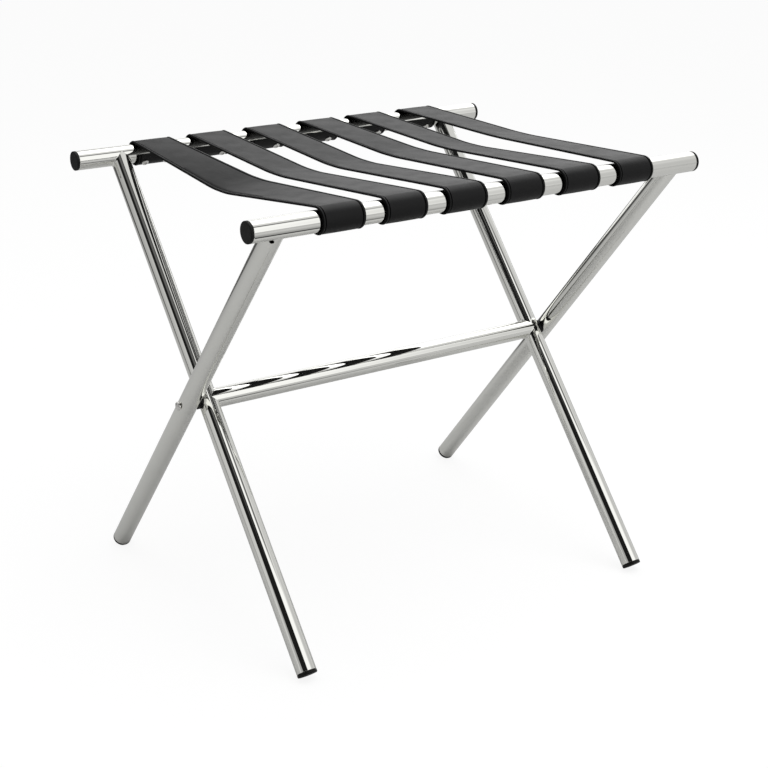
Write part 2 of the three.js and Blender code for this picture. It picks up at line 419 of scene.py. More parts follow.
@dataclass(frozen=True)
class StrapLeather(Finish):
    """Black finished leather: pebbled grain, soft stretch waves and a satin top coat."""

    name: str = "strap_leather"
    grain: Point = (1.6, 5.0)
    deep: Triple = (0.0018, 0.0018, 0.0020)
    worn: Triple = (0.0038, 0.0038, 0.0040)
    rough: Point = (0.40, 0.50)
    specular: float = 0.24
    coords: str = "UV"
    wave_stretch: Triple = (1.4, 0.5, 1.0)
    waves: Point = (3.0, 2.0)
    wave_relief: Point = (0.2, 0.0012)
    pebbles: float = 62.0
    pebble_relief: Point = (0.35, 0.00014)
    pores: Point = (240.0, 2.0)
    pore_relief: Point = (0.16, 0.00006)

    def emboss(self, paint: Painter, grain: Node) -> None:
        """Adds the stretch waves, the pebbles on them and the pores on those.

        Args:
            paint: the material's nodes.
            grain: the node of its clouds, which have no relief; not used.
        """
        waves = paint.noise(paint.where(self.wave_stretch, self.coords), *self.waves)
        soft = paint.relief(waves, 0, *self.wave_relief)
        flat = paint.where(output=self.coords)
        pebble = paint.add("ShaderNodeTexVoronoi", {"Scale": self.pebbles}, feature="SMOOTH_F1")
        paint.join(flat, "Vector", pebble, "Vector")
        pebbled = paint.relief(pebble, "Distance", *self.pebble_relief, soft)
        pores = paint.noise(flat, *self.pores)
        paint.relief(pores, 0, *self.pore_relief, pebbled)


@dataclass(frozen=True)
class EdgePaint(Finish):
    """Burnished black paint on the cut edges of the leather, also laid in the stitch grooves as painted
    shade.
    """

    name: str = "edge_paint"
    grain: Point = (14.0, 4.0)
    deep: Triple = (0.0009, 0.0009, 0.0010)
    worn: Triple = (0.0019, 0.0019, 0.0020)
    rough: Point = (0.5, 0.66)
    specular: float = 0.06
    coords: str = "UV"
    grain_relief: Point = (0.15, 0.0003)

    def emboss(self, paint: Painter, grain: Node) -> None:
        """Raises the clouds of the paint."""
        paint.relief(grain, 0, *self.grain_relief)


@dataclass(frozen=True)
class WaxedThread(Finish):
    """Black waxed sewing thread."""

    name: str = "waxed_thread"
    grain: Point = (90.0, 2.0)
    deep: Triple = (0.0015, 0.0015, 0.0016)
    worn: Triple = (0.0040, 0.0040, 0.0042)
    rough: Point = (0.5, 0.65)
    specular: float = 0.12
    coords: str = "UV"


@dataclass
class Finishes:
    """Every finish of the rack, made once."""

    chrome: Material = field(default_factory=ChromePlate().make)
    steel: Material = field(default_factory=BrightSteel().make)
    zinc: Material = field(default_factory=ZincPlate().make)
    plastic: Material = field(default_factory=BlackPlastic().make)
    leather: Material = field(default_factory=StrapLeather().make)
    edge: Material = field(default_factory=EdgePaint().make)
    thread: Material = field(default_factory=WaxedThread().make)


def added(name: str, data: bpy.types.ID) -> Piece:
    """Adds an object to the scene.

    Args:
        name: the object's name.
        data: its mesh, lamp or camera.

    Returns:
        The new object.
    """
    piece = bpy.data.objects.new(name, data)
    bpy.context.scene.collection.objects.link(piece)
    return piece


def smooth(mesh: bpy.types.Mesh, crease: float = CRISP) -> None:
    """Shades a mesh smooth, but for edges sharper than the crease in degrees."""
    mesh.shade_smooth()
    mesh.set_sharp_from_angle(angle=math.radians(crease))


def settle(bm: Shape, name: str, materials: Sequence[Material], crease: float = CRISP) -> Piece:
    """Turns a bmesh into a smooth-shaded object at the origin.

    Args:
        bm: the shape, already in its place; it is freed.
        name: the piece's name.
        materials: its material slots in order.
        crease: edges sharper than this, in degrees, stay crisp.

    Returns:
        The new object.
    """
    mesh = bpy.data.meshes.new(name)
    bm.to_mesh(mesh)
    bm.free()
    for material in materials:
        mesh.materials.append(material)
    smooth(mesh, crease)
    return added(name, mesh)


def fix(piece: Piece, body: Body, slot: str, *nodes: str) -> None:
    """Ties a rigid piece to its body and hides the nodes it stands for.

    Args:
        piece: the finished object.
        body: the body it moves with.
        slot: the record's material slot; not used.
        nodes: the solids it replaces.
    """
    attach(piece, body.value)
    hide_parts(*nodes)
    log.info("%s rides on %s", piece.name, body.value)


def verts_of(made: Sequence[object]) -> list[Vert]:
    """The points among what an operator has made."""
    return [item for item in made if isinstance(item, Vert)]


def edges_of(made: Sequence[object]) -> list[Edge]:
    """The edges among what an operator has made."""
    return [item for item in made if isinstance(item, Edge)]


def place(bm: Shape, matrix: Matrix) -> None:
    """Moves a whole bmesh by a matrix."""
    bmesh.ops.transform(bm, matrix=matrix, verts=bm.verts)


def tidy(bm: Shape) -> None:
    """Merges doubles and points every face outwards."""
    bmesh.ops.remove_doubles(bm, verts=bm.verts, dist=1e-6)
    bmesh.ops.recalc_face_normals(bm, faces=bm.faces)


def turned(profile: Sequence[Point], sides: int, closed: bool = False) -> Shape:
    """Spins a profile round the Z axis.

    Args:
        profile: points of radius and height.
        sides: steps of the full turn.
        closed: joins the last point to the first, for a ring-shaped section.

    Returns:
        The turned shape.
    """
    bm = bmesh.new()
    verts = [bm.verts.new((r, 0.0, z)) for r, z in profile]
    pairs = list(zip(verts, verts[1:])) + ([(verts[-1], verts[0])] if closed else [])
    edges = [bm.edges.new(pair) for pair in pairs]
    bmesh.ops.spin(bm, geom=verts + edges, cent=(0, 0, 0), axis=(0, 0, 1), angle=math.tau,
                   steps=sides, use_merge=True)
    tidy(bm)
    return bm


def arc(centre: Point, radii: Point, start: float, stop: float, steps: int) -> list[Point]:
    """Points on a part of an ellipse.

    Args:
        centre: its middle.
        radii: its two radii.
        start: first angle in degrees.
        stop: last angle in degrees.
        steps: number of steps.

    Returns:
        The points, ends included.
    """
    turns = [math.radians(start + (stop - start) * i / steps) for i in range(steps + 1)]
    return [(centre[0] + radii[0] * math.cos(a), centre[1] + radii[1] * math.sin(a)) for a in turns]


def drawn(stations: Sequence[Station], sides: int) -> Shape:
    """Extrudes a ring from station to station and closes it on itself, as a tube with a wall.

    Args:
        stations: each gives a point of its ring for an angle.
        sides: points of a ring.

    Returns:
        The closed shape.
    """
    bm = bmesh.new()
    first = bmesh.ops.create_circle(bm, cap_ends=False, segments=sides, radius=1.0)["verts"]
    angles = {vert: math.atan2(vert.co.y, vert.co.x) for vert in first}
    start = list(bm.edges)
    ring = start
    for vert, angle in angles.items():
        vert.co = stations[0](angle)
    for station in stations[1:]:
        made = bmesh.ops.extrude_edge_only(bm, edges=ring)["geom"]
        ring = edges_of(made)
        moved = {}
        for vert in verts_of(made):
            before = next(v for v in (e.other_vert(vert) for e in vert.link_edges) if v in angles)
            moved[vert] = angles[before]
        for vert, angle in moved.items():
            vert.co = station(angle)
        angles = moved
    bmesh.ops.bridge_loops(bm, edges=start + ring)
    tidy(bm)
    return bm


def level(radius: float, height: float) -> Station:
    """A plain round ring at one height."""
    return lambda a: Vector((radius * math.cos(a), radius * math.sin(a), height))


def bored(piece: Piece, cutter: Shape) -> None:
    """Cuts one shape out of a piece for good.

    Args:
        piece: the object to cut.
        cutter: the shape that is taken away; it is freed.
    """
    tool = settle(cutter, piece.name + "_cutter", list(piece.data.materials))
    cut = piece.modifiers.new("cut", "BOOLEAN")
    cut.operation = "DIFFERENCE"
    cut.solver = "EXACT"
    cut.object = tool
    graph = bpy.context.evaluated_depsgraph_get()
    mesh = bpy.data.meshes.new_from_object(piece.evaluated_get(graph))
    piece.modifiers.remove(cut)
    old, piece.data = piece.data, mesh
    bpy.data.meshes.remove(old)
    bpy.data.objects.remove(tool)
    smooth(mesh)


@dataclass(frozen=True)
class WeldedEnd:
    """A tube end coped onto a tube of the same size, with a small ground weld fillet."""

    radius: float
    fillet: float = 0.0024
    lead: float = 0.001
    bite: float = 0.00003
    sunk: float = 0.0004
    steps: int = 6

    def crease(self, angle: float) -> float:
        """Depth of the bare cope below the host's axis."""
        return -self.radius * abs(math.cos(angle))

    def size(self, angle: float) -> float:
        """Leg of the fillet, which runs out where the two tubes are tangent."""
        return self.fillet * math.cos(angle) ** 2

    def below(self, gap: float) -> Station:
        """A ring on the tube at one gap under the fillet.

        Args:
            gap: distance down the tube.

        Returns:
            The ring's station.
        """
        r = self.radius

        def ring(angle: float) -> Vector:
            """The ring's point at an angle."""
            drop = self.crease(angle) - self.size(angle) - gap
            return Vector((r * math.cos(angle), r * math.sin(angle), drop))

        return ring

    def blend(self, t: float) -> Station:
        """A ring on the hollow of the fillet.

        Args:
            t: from 0 on the tube to 1 on the host.

        Returns:
            The ring's station.
        """
        r = self.radius

        def ring(angle: float) -> Vector:
            """Bends the ring's point over the fillet.

            Args:
                angle: where on the ring.

            Returns:
                The point.
            """
            out = Vector((math.cos(angle), math.sin(angle), 0.0))
            low = r * out + Vector((0.0, 0.0, self.crease(angle) - self.size(angle)))
            mid = r * out + Vector((0.0, 0.0, self.crease(angle)))
            far = (r + self.size(angle)) * out
            far.z = -math.sqrt(max(r * r - far.y * far.y, 0.0))
            return (1 - t) ** 2 * low + 2 * t * (1 - t) * mid + t * t * (far + Vector((0.0, 0.0, self.bite)))

        return ring

    def inside(self, bore: float) -> Station:
        """The mouth of the bore, hidden in the host's wall."""
        r = self.radius
        return lambda a: Vector((bore * math.cos(a), bore * math.sin(a),
                                 self.sunk - math.sqrt(r * r - (bore * math.sin(a)) ** 2)))

    def stations(self, bore: float) -> list[Station]:
        """All the rings of the end, from the tube up to the host and back into the bore."""
        hollow = [self.blend(i / self.steps) for i in range(self.steps + 1)]
        return [self.below(SUPPORT), self.below(self.lead), *hollow, self.inside(bore)]


@dataclass
class PlugMaker:
    """Round-edged plastic plugs for the open tube ends."""

    sizes: RackSizes
    sides: int = 72
    wall: float = 0.0018
    lip: float = 0.0003
    stem_break: Point = (0.0008, 0.001)
    face_share: float = 0.97
    face_rings: int = 5

    def shape(self, flange: float, edge: float) -> Shape:
        """Turns one plug with its face down at height 0 and its stem going up.

        Args:
            flange: thickness of the flange.
            edge: radius of the rounded rim.

        Returns:
            The plug.
        """
        r = self.sizes.tube_r
        stem = self.sizes.bore_r - self.sizes.clear
        top = flange + self.sizes.plug_stem
        face = [(r * self.face_share * k / self.face_rings, 0.0) for k in range(self.face_rings)]
        break_in, break_down = self.stem_break
        profile = [
            *face,
            *arc((r - edge, edge), (edge, edge), -90, 0, 6),
            *arc((r - self.lip, flange - self.lip), (self.lip, self.lip), 0, 90, 3),
            (stem, flange),
            (stem, top - break_down),
            (stem - break_in, top),
            (stem - self.wall, top),
            (stem - self.wall, flange),
            (0.0, flange),
        ]
        return turned(profile, self.sides)


@dataclass
class TubeFrame:
    """One frame of the rack: a rail with its plugs, two welded legs, their feet and saddles."""

    sizes: RackSizes
    finishes: Finishes
    rail: Rail
    body: Body
    legs: str
    leg_x: float
    vented: bool
    sides: int = 96
    chamfer: float = 0.0003
    vent_r: float = 0.0025
    vent_down: float = 0.008
    vent_turn: float = math.radians(60)
    vent_reach: Point = (0.004, 0.02)
    vent_sides: int = 32
    rail_plug_edge: float = 0.0006
    foot_plug_edge: float = 0.0011
    saddle_r: float = 0.0082
    saddle_mid: float = 0.66
    saddle_hole: float = 0.0033
    saddle_soft: float = 0.0005
    saddle_sides: int = 64

    @property
    def stance(self) -> Matrix:
        """Where the flat frame stands."""
        return self.sizes.frame_place(self.rail)

    def build(self) -> None:
        """Builds and dresses the whole frame."""
        self.build_rail()
        for side in Side:
            self.build_rail_plug(side)
            self.build_leg(side)
            self.build_foot(side)
            self.build_saddle(side)

    def build_rail(self) -> None:
        """The rail: a cut length of tube with its wall and lightly broken edges."""
        r, bore, c = self.sizes.tube_r, self.sizes.bore_r, self.chamfer
        end = self.sizes.rail_half - self.sizes.rail_flange - self.sizes.clear
        half = [(bore, end), (r - c, end), (r, end - c), (r, end - SUPPORT)]
        profile = half + [(radius, -z) for radius, z in reversed(half)]
        bm = turned(profile, self.sides, closed=True)
        place(bm, self.stance @ Matrix.Rotation(math.pi / 2, 4, "Y"))
        name = f"{self.rail.word}_rail"
        piece = settle(bm, f"{name}_tube", [self.finishes.chrome])
        fix(piece, self.body, "chrome_tube", name)

    def build_rail_plug(self, side: Side) -> None:
        """A thin-flanged plug in one end of the rail.

        Args:
            side: the end of the rails that it is at.
        """
        bm = PlugMaker(self.sizes).shape(self.sizes.rail_flange, self.rail_plug_edge)
        turn = Matrix.Rotation(-side.value * math.pi / 2, 4, "Y")
        push = Matrix.Translation((side.value * self.sizes.rail_half, 0.0, 0.0))
        place(bm, self.stance @ push @ turn)
        node = f"{self.rail.word}_rail_cap_{side.word}"
        piece = settle(bm, f"{self.rail.word}_rail_plug_{side.word}", [self.finishes.plastic])
        fix(piece, self.body, "black_plastic", node)

    def build_leg(self, side: Side) -> None:
        """A leg: coped and welded under the rail, cut square at the foot, vented where it is.

        Args:
            side: the end of the rails that it is at.
        """
        r, bore, c = self.sizes.tube_r, self.sizes.bore_r, self.chamfer
        foot = -(self.sizes.leg_length - self.sizes.foot_flange - self.sizes.clear)
        weld = WeldedEnd(r)
        stations = [level(r, foot + c), level(r, foot + SUPPORT), *weld.stations(bore)]
        stations += [level(bore, foot), level(r - c, foot)]
        bm = drawn(stations, self.sides)
        stand = self.stance @ Matrix.Translation((side.value * self.leg_x, 0.0, 0.0))
        place(bm, stand)
        node = f"{self.legs}_leg_{side.word}"
        piece = settle(bm, f"{node}_tube", [self.finishes.chrome])
        if self.vented:
            near, far = self.vent_reach
            wall = [(0.0, near), (self.vent_r, near), (self.vent_r, far), (0.0, far)]
            hole = turned(wall, self.vent_sides)
            turn = Matrix.Rotation(-side.value * self.vent_turn, 4, "Z")
            turn @= Matrix.Rotation(side.value * math.pi / 2, 4, "Y")
            place(hole, stand @ Matrix.Translation((0.0, 0.0, -self.vent_down)) @ turn)
            bored(piece, hole)
        fix(piece, self.body, "chrome_tube", node)

    def build_foot(self, side: Side) -> None:
        """A thick-flanged plug in the leg's end, worn flat where it stands on the floor.

        Args:
            side: the end of the rails that it is at.
        """
        bm = PlugMaker(self.sizes).shape(self.sizes.foot_flange, self.foot_plug_edge)
        drop = Matrix.Translation((side.value * self.leg_x, 0.0, -self.sizes.leg_length))
        place(bm, self.stance @ drop)
        whole = [*bm.verts, *bm.edges, *bm.faces]
        made = bmesh.ops.bisect_plane(bm, geom=whole, dist=1e-7, plane_co=(0, 0, 0), plane_no=(0, 0, -1),
                                      clear_outer=True)
        bmesh.ops.edgeloop_fill(bm, edges=edges_of(made["geom_cut"]))
        tidy(bm)
        node = f"{self.legs}_foot_cap_{side.word}"
        piece = settle(bm, f"{self.legs}_foot_plug_{side.word}", [self.finishes.plastic])
        fix(piece, self.body, "black_plastic", node)

    def build_saddle(self, side: Side) -> None:
        """A washer that is hollowed to its own leg and flat towards the other one.

        Args:
            side: the end of the rails that it is at.
        """
        plane = (self.sizes.inner_x + self.sizes.outer_x) / 2
        towards = side.value * math.copysign(1.0, plane - self.leg_x)
        flat = abs(plane - self.leg_x) - self.sizes.clear / 2
        seat = self.sizes.tube_r + self.sizes.clear
        r, hole, soft = self.saddle_r, self.saddle_hole, self.saddle_soft

        def coped(radius: float, lift: float) -> Station:
            """A ring that follows the leg."""
            return lambda a: Vector((radius * math.cos(a), radius * math.sin(a),
                                     math.sqrt(seat ** 2 - (radius * math.sin(a)) ** 2) + lift))

        stations = [level(hole, flat), level(r - soft, flat), level(r, flat - soft / 2)]
        stations.append(coped(r, soft / 2))
        stations += [coped(radius, 0.0) for radius in (r - soft, r * self.saddle_mid, hole)]
        bm = drawn(stations, self.saddle_sides)
        turn = Matrix.Rotation(towards * math.pi / 2, 4, "Y")
        stand = Matrix.Translation((side.value * self.leg_x, 0.0, -self.sizes.pivot_down))
        place(bm, self.stance @ stand @ turn)
        tidy(bm)
        node = f"{self.legs}_saddle_{side.word}"
        piece = settle(bm, f"{self.legs}_saddle_washer_{side.word}", [self.finishes.plastic])
        fix(piece, self.body, "black_plastic", node)


@dataclass
class CrossTube:
    """The tube on the pivot line between the inner legs, welded to both, with its inserts."""

    sizes: RackSizes
    finishes: Finishes
    sides: int = 96

    def build(self) -> None:
        """Builds the tube and dresses the inserts, which keep their solids."""
        weld = WeldedEnd(self.sizes.tube_r)
        half = self.sizes.inner_x
        up = [self.lifted(station, half, 1.0) for station in weld.stations(self.sizes.bore_r)]
        down = [self.lifted(station, half, -1.0) for station in weld.stations(self.sizes.bore_r)]
        bm = drawn([*reversed(down), *up], self.sides)
        stand = self.sizes.frame_place(Rail.BACK) @ Matrix.Translation((0.0, 0.0, -self.sizes.pivot_down))
        place(bm, stand @ Matrix.Rotation(math.pi / 2, 4, "Y"))
        tidy(bm)
        piece = settle(bm, "cross_tube_welded", [self.finishes.chrome])
        fix(piece, Body.INNER, "chrome_tube", "cross_tube")
        for side in Side:
            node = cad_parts[f"cross_tube_insert_{side.word}"]
            node.data.materials.clear()
            node.data.materials.append(self.finishes.zinc)
            log.info("%s keeps its solid", node.name)

    @staticmethod
    def lifted(station: Station, half: float, sign: float) -> Station:
        """A ring of one end, carried to that end of the tube."""
        def ring(angle: float) -> Vector:
            """The ring's point at an angle."""
            point = station(angle)
            return Vector((point.x, point.y, sign * (half + point.z)))

        return ring


def domed_head(radius: float, height: float, rim: float, turn: float, steps: int) -> list[Point]:
    """Half the outline of a domed head, from its seat to its top.

    Args:
        radius: the head's radius.
        height: its height.
        rim: height of its upright rim.
        turn: how far the dome's arc goes, in degrees.
        steps: number of steps of the arc.

    Returns:
        The points of radius and height.
    """
    dome = arc((0.0, rim), (radius, height - rim), 0, turn, steps)
    return [(radius - HEAD_BREAK, 0.0), (radius, HEAD_BREAK), *dome, (0.0, height)]


@dataclass
class PivotBolts:
    """The two domed bolts that the frames turn on."""

    sizes: RackSizes
    finishes: Finishes
    shank_r: float = 0.003
    head_r: float = 0.005
    head_height: float = 0.0034
    grip: float = 0.017
    tip: Point = (0.0012, 0.0015)
    dome_turn: float = 84.0
    dome_steps: int = 9
    sides: int = 48

    def build(self) -> None:
        """Turns both bolts and sets them in the outer legs."""
        seat = self.sizes.outer_x + self.sizes.tube_r + self.sizes.clear
        length = seat - self.sizes.inner_x + self.sizes.tube_r + self.grip
        rim = self.head_height * RIM_SHARE + HEAD_BREAK
        tip_in, tip_up = self.tip
        profile = [
            (0.0, -length),
            (self.shank_r - tip_in, -length),
            (self.shank_r, tip_up - length),
            (self.shank_r, 0.0),
            *domed_head(self.head_r, self.head_height, rim, self.dome_turn, self.dome_steps),
        ]
        for side in Side:
            bm = turned(profile, self.sides)
            stand = self.sizes.frame_place(Rail.BACK)
            stand = stand @ Matrix.Translation((side.value * seat, 0.0, -self.sizes.pivot_down))
            place(bm, stand @ Matrix.Rotation(side.value * math.pi / 2, 4, "Y"))
            piece = settle(bm, f"pivot_bolt_domed_{side.word}", [self.finishes.steel])
            fix(piece, Body.MIDDLE, "bright_fastener", f"pivot_bolt_{side.word}")


def eased(distance: float, length: float) -> float:
    """Climb after a distance of a line whose slope eases from 0 to 1.

    Args:
        distance: how far along.
        length: the length over which the slope eases.

    Returns:
        The climb; nothing before the start.
    """
    share = min(max(distance / length, 0.0), 1.0)
    return length * (share ** 3 - share ** 4 / 2) + max(distance - length, 0.0)


@dataclass(frozen=True)
class Slack:
    """How one strap hangs, in metres.

    It has its drop, its right edge's rise over its left one, the place of its crease, and how far it has
    slid along the front rail and the back rail.
    """

    sag: float
    tilt: float
    crease_y: float
    slid: Point


@dataclass(frozen=True)
class Loop:
    """The loose loop of a strap round a rail, in metres: its radius and how far it stands up."""

    radius: float
    rise: float


LOOPS = {Rail.BACK: Loop(0.0131, 0.0004), Rail.FRONT: Loop(0.0130, 0.0008)}


@dataclass(frozen=True)
class StrapPlan:
    """Where one strap lies and how it hangs, in metres."""

    number: int
    slack: Slack
    sizes: RackSizes
    count: int = 6
    pitch: float = 0.0752
    width: float = 0.0496
    thick: float = 0.002
    loop_top: float = 0.0148
    crease: float = 0.030
    shoulder: float = 0.024
    shoulder_slope: float = 0.85
    end_angle: float = math.radians(361.0)

    @property
    def x(self) -> float:
        """The strap's middle along the rails."""
        return (self.number - 1 - (self.count - 1) / 2) * self.pitch

    @property
    def low_z(self) -> float:
        """Height of the crease."""
        return self.sizes.rail_z + self.loop_top - self.slack.sag

    def climb(self, distance: float, reach: float) -> float:
        """Climb of the strap on its way out of the crease and into its shoulder.

        Args:
            distance: how far from the crease.
            reach: where the shoulder ends.

        Returns:
            The climb for a steepest slope of 1.
        """
        levelled = eased(distance - reach + self.shoulder, self.shoulder)
        return eased(distance, self.crease) - (1 - self.shoulder_slope) * levelled

    def leave(self, rail: Rail) -> float:
        """Angle round the loop at which the strap leaves it.

        Args:
            rail: the rail that the loop goes round.

        Returns:
            The angle, from the direction of the other rail up.
        """
        reach = abs(-rail.value * self.sizes.rail_y - self.slack.crease_y)
        height = self.sizes.rail_z + LOOPS[rail].rise + LOOPS[rail].radius - self.low_z
        return math.pi / 2 - math.atan(self.shoulder_slope * height / self.climb(reach, reach))

    def seat(self, rail: Rail, angle: float) -> float:
        """From a rail's axis to the loop's outer face.

        Args:
            rail: the rail.
            angle: the direction, as round the loop.

        Returns:
            The distance.
        """
        loop = LOOPS[rail]
        shift = loop.rise * math.sin(angle)
        return shift + math.sqrt((loop.radius + self.thick / 2) ** 2 - loop.rise ** 2 + shift ** 2)


class StrapLine:
    """The middle line of one half of a strap, from its crease to its end round a rail."""

    SPAN_STEPS = 80

    def __init__(self, plan: StrapPlan, rail: Rail) -> None:
        """Walks the hanging part and measures the line.

        Args:
            plan: the strap.
            rail: the rail that this half goes to.
        """
        self.plan = plan
        self.inward = rail.value
        self.loop = LOOPS[rail]
        self.leave = plan.leave(rail)
        self.centre = Vector((plan.x, -self.inward * plan.sizes.rail_y, plan.sizes.rail_z + self.loop.rise))
        self.top = self.centre + self.loop.radius * self.out(self.leave)
        self.points = [self.hanging(i / self.SPAN_STEPS) for i in range(self.SPAN_STEPS + 1)]
        self.reach = [0.0]
        for before, after in zip(self.points, self.points[1:]):
            self.reach.append(self.reach[-1] + (after - before).length)
        self.span = self.reach[-1]
        self.length = self.span + self.loop.radius * (plan.end_angle - self.leave)

    def out(self, angle: float) -> Vector:
        """Direction away from the loop's centre."""
        return Vector((0.0, self.inward * math.cos(angle), math.sin(angle)))

    def share(self, v: float) -> float:
        """Share of the climb, from 0 at the crease to 1 at the rail."""
        reach = abs(self.top.y - self.plan.slack.crease_y)
        return self.plan.climb(v * reach, reach) / self.plan.climb(reach, reach)

    def hanging(self, v: float) -> Vector:
        """Finds a point of the hanging part.

        Args:
            v: its place, from 0 at the crease to 1 at the rail.

        Returns:
            The point.
        """
        low = Vector((self.plan.x, self.plan.slack.crease_y, self.plan.low_z))
        y = low.y + (self.top.y - low.y) * v
        return Vector((low.x, y, low.z + (self.top.z - low.z) * self.share(v)))

    def heading(self, i: int) -> Vector:
        """Direction of the hanging part at one of its points.

        Args:
            i: the point's index.

        Returns:
            The unit direction towards the rail.
        """
        if i == 0:
            return Vector((0.0, -self.inward, 0.0))
        if i == self.SPAN_STEPS:
            return Vector((0.0, -self.inward * math.sin(self.leave), math.cos(self.leave)))
        return (self.points[i + 1] - self.points[i - 1]).normalized()

    def at(self, s: float) -> tuple[Vector, Vector]:
        """Finds a place on the line.

        Args:
            s: length along the line.

        Returns:
            The point and the direction away from the leather's outer face.
        """
        if s >= self.span:
            up = self.out(self.leave + (s - self.span) / self.loop.radius)
            return self.centre + self.loop.radius * up, up
        i = max(bisect_right(self.reach, s), 1)
        t = (s - self.reach[i - 1]) / (self.reach[i] - self.reach[i - 1])
        along = self.heading(i - 1).lerp(self.heading(i), t).normalized()
        up = Vector((-self.inward, 0.0, 0.0)).cross(along)
        return self.points[i - 1].lerp(self.points[i], t), up


@dataclass
class Strap:
    """One leather strap, in two halves that meet at its lowest point.

    Each half is cut and sewn flat, with X across, Y along and Z up, and then laid on its line.
    """

    plan: StrapPlan
    finishes: Finishes
    bodies: dict[Rail, tuple[Body, Body]]
    cuts: int = 159
    seam_in: float = 0.0036
    groove: float = 0.0007
    groove_half: float = 0.0007
    groove_floor: float = 0.0002
    crown: float = 0.00016
    bead: float = 0.0004
    painted: float = 0.00101
    doublings: int = 6
    stitch_half: float = 0.0015
    stitch_slant: float = math.radians(9.0)
    thread_r: float = 0.00036
    thread_up: float = 0.0001
    crisp: float = 50.0
    map_scale: float = 20.0
    blend_in: float = 0.0145
    blend_z: float = 0.5

    def section(self) -> list[Point]:
        """Outline of the leather: crowned faces, a beaded rim behind a stitch groove, round edges.

        Returns:
            The points of across and up, in order round the outline.
        """
        half, t = self.plan.width / 2, self.plan.thick / 2
        seam = half - self.seam_in
        rim = half - t
        inner = seam - self.groove_half
        outer = seam + self.groove_half
        flat = [inner * k / 6 for k in range(-6, 7)]
        bead = arc(((outer + rim) / 2, t), ((rim - outer) / 2, self.bead), 180, 0, 6)
        side = [(seam + x, t - self.groove) for x in (-self.groove_floor, self.groove_floor)] + bead
        top = [(-x, z) for x, z in reversed(side)]
        top += [(x, t + self.crown * (1 - (x / inner) ** 2)) for x in flat]
        top += side
        right = arc((rim, 0.0), (t, t), 90, -90, 8)[1:-1]
        bottom = [(x, max(-t, -z)) for x, z in reversed(top)]
        left = arc((-rim, 0.0), (t, t), 270, 90, 8)[1:-1]
        return top + right + bottom + left

    def build(self) -> None:
        """Builds and dresses both halves."""
        for rail in Rail:
            self.build_half(rail)

    def build_half(self, rail: Rail) -> None:
        """Makes one half, fixed where it hangs, and hides the solid of its strap.

        Args:
            rail: the rail that the half goes to.
        """
        line = StrapLine(self.plan, rail)
        bm = self.cut_flat(line.length)
        leather = len(bm.faces)
        self.sew(bm, line)
        self.mark(bm, leather)
        self.lay(bm, line)
        finishes = [self.finishes.leather, self.finishes.edge, self.finishes.thread]
        piece = settle(bm, f"strap_{self.plan.number}_{rail.word}", finishes, self.crisp)
        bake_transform(piece)
        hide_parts(f"strap_{self.plan.number}")

    def cut_flat(self, length: float) -> Shape:
        """Cuts the half strap: the outline drawn out to its length, in short steps.

        Args:
            length: the half's flat length.

        Returns:
            The flat leather, closed at both ends.
        """
        bm = bmesh.new()
        verts = [bm.verts.new((x, 0.0, z)) for x, z in self.section()]
        ring = [bm.edges.new(pair) for pair in zip(verts, verts[1:] + verts[:1])]
        made = bmesh.ops.extrude_edge_only(bm, edges=ring)["geom"]
        bmesh.ops.translate(bm, vec=(0.0, length, 0.0), verts=verts_of(made))
        far = edges_of(made)
        bmesh.ops.edgeloop_fill(bm, edges=ring)
        bmesh.ops.edgeloop_fill(bm, edges=far)
        ends = {*ring, *far}
        sides = [edge for edge in bm.edges if edge not in ends]
        bmesh.ops.subdivide_edges(bm, edges=sides, cuts=self.cuts, use_grid_fill=True)
        bmesh.ops.recalc_face_normals(bm, faces=bm.faces)
        return bm

    def sew(self, bm: Shape, line: StrapLine) -> None:
        """Adds the stitches in the grooves: on both faces where the strap hangs, outside where it wraps.

        Args:
            bm: the flat leather.
            line: the line that it will be laid on.
        """
        seam = self.plan.width / 2 - self.seam_in
        lift = self.plan.thick / 2 - self.groove + self.thread_up
        pitch = line.length / 2 ** self.doublings
        thread = bmesh.new()
        shape = Matrix.Diagonal((self.thread_r, self.stitch_half, self.thread_r, 1.0))
        slant = Matrix.Rotation(self.stitch_slant, 4, "Z")
        spot = Matrix.Translation((-seam, pitch / 2, lift))
        turn = Matrix.Rotation(math.pi / 2, 4, "X")
        bmesh.ops.create_uvsphere(thread, u_segments=6, v_segments=4, radius=1.0,
                                  matrix=spot @ slant @ shape @ turn)
        for k in range(self.doublings):
            self.again(thread, (0.0, pitch * 2 ** k, 0.0))
        self.again(thread, (2 * seam, 0.0, 0.0))
        under = self.again(thread, (0.0, 0.0, -2 * lift))
        wrapped = [vert for vert in under if vert.co.y > line.span]
        bmesh.ops.delete(thread, geom=wrapped, context="VERTS")
        mesh = bpy.data.meshes.new("stitches")
        thread.to_mesh(mesh)
        thread.free()
        bm.from_mesh(mesh)
        bpy.data.meshes.remove(mesh)

    @staticmethod
    def again(bm: Shape, by: Triple) -> list[Vert]:
        """Copies everything in a bmesh to one side.

        Args:
            bm: the shape to repeat.
            by: how far the copy is moved.

        Returns:
            The points of the copy.
        """
        made = bmesh.ops.duplicate(bm, geom=[*bm.verts, *bm.edges, *bm.faces])["geom"]
        fresh = verts_of(made)
        bmesh.ops.translate(bm, vec=by, verts=fresh)
        return fresh

    def mark(self, bm: Shape, leather: int) -> None:
        """Sorts the faces into leather, painted edge and thread, and keeps the flat places as a map; the
        stitch grooves take the edge paint too, as painted shade.

        Args:
            bm: the flat half strap.
            leather: number of faces that belong to the leather.
        """
        flat = bm.loops.layers.uv.new("flat")
        half = self.plan.width / 2
        bm.faces.index_update()
        for face in bm.faces:
            insets = [half - abs(vert.co.x) for vert in face.verts]
            # the stitch groove's faces get the dark edge paint: painted shade in the groove
            groove_shade = all(abs(inset - self.seam_in) < self.groove_half + 1e-6 for inset in insets)
            edge = groove_shade or all(inset < self.painted for inset in insets)
            face.material_index = 2 if face.index >= leather else int(edge)
            for loop in face.loops:
                loop[flat].uv = loop.vert.co.xy * self.map_scale

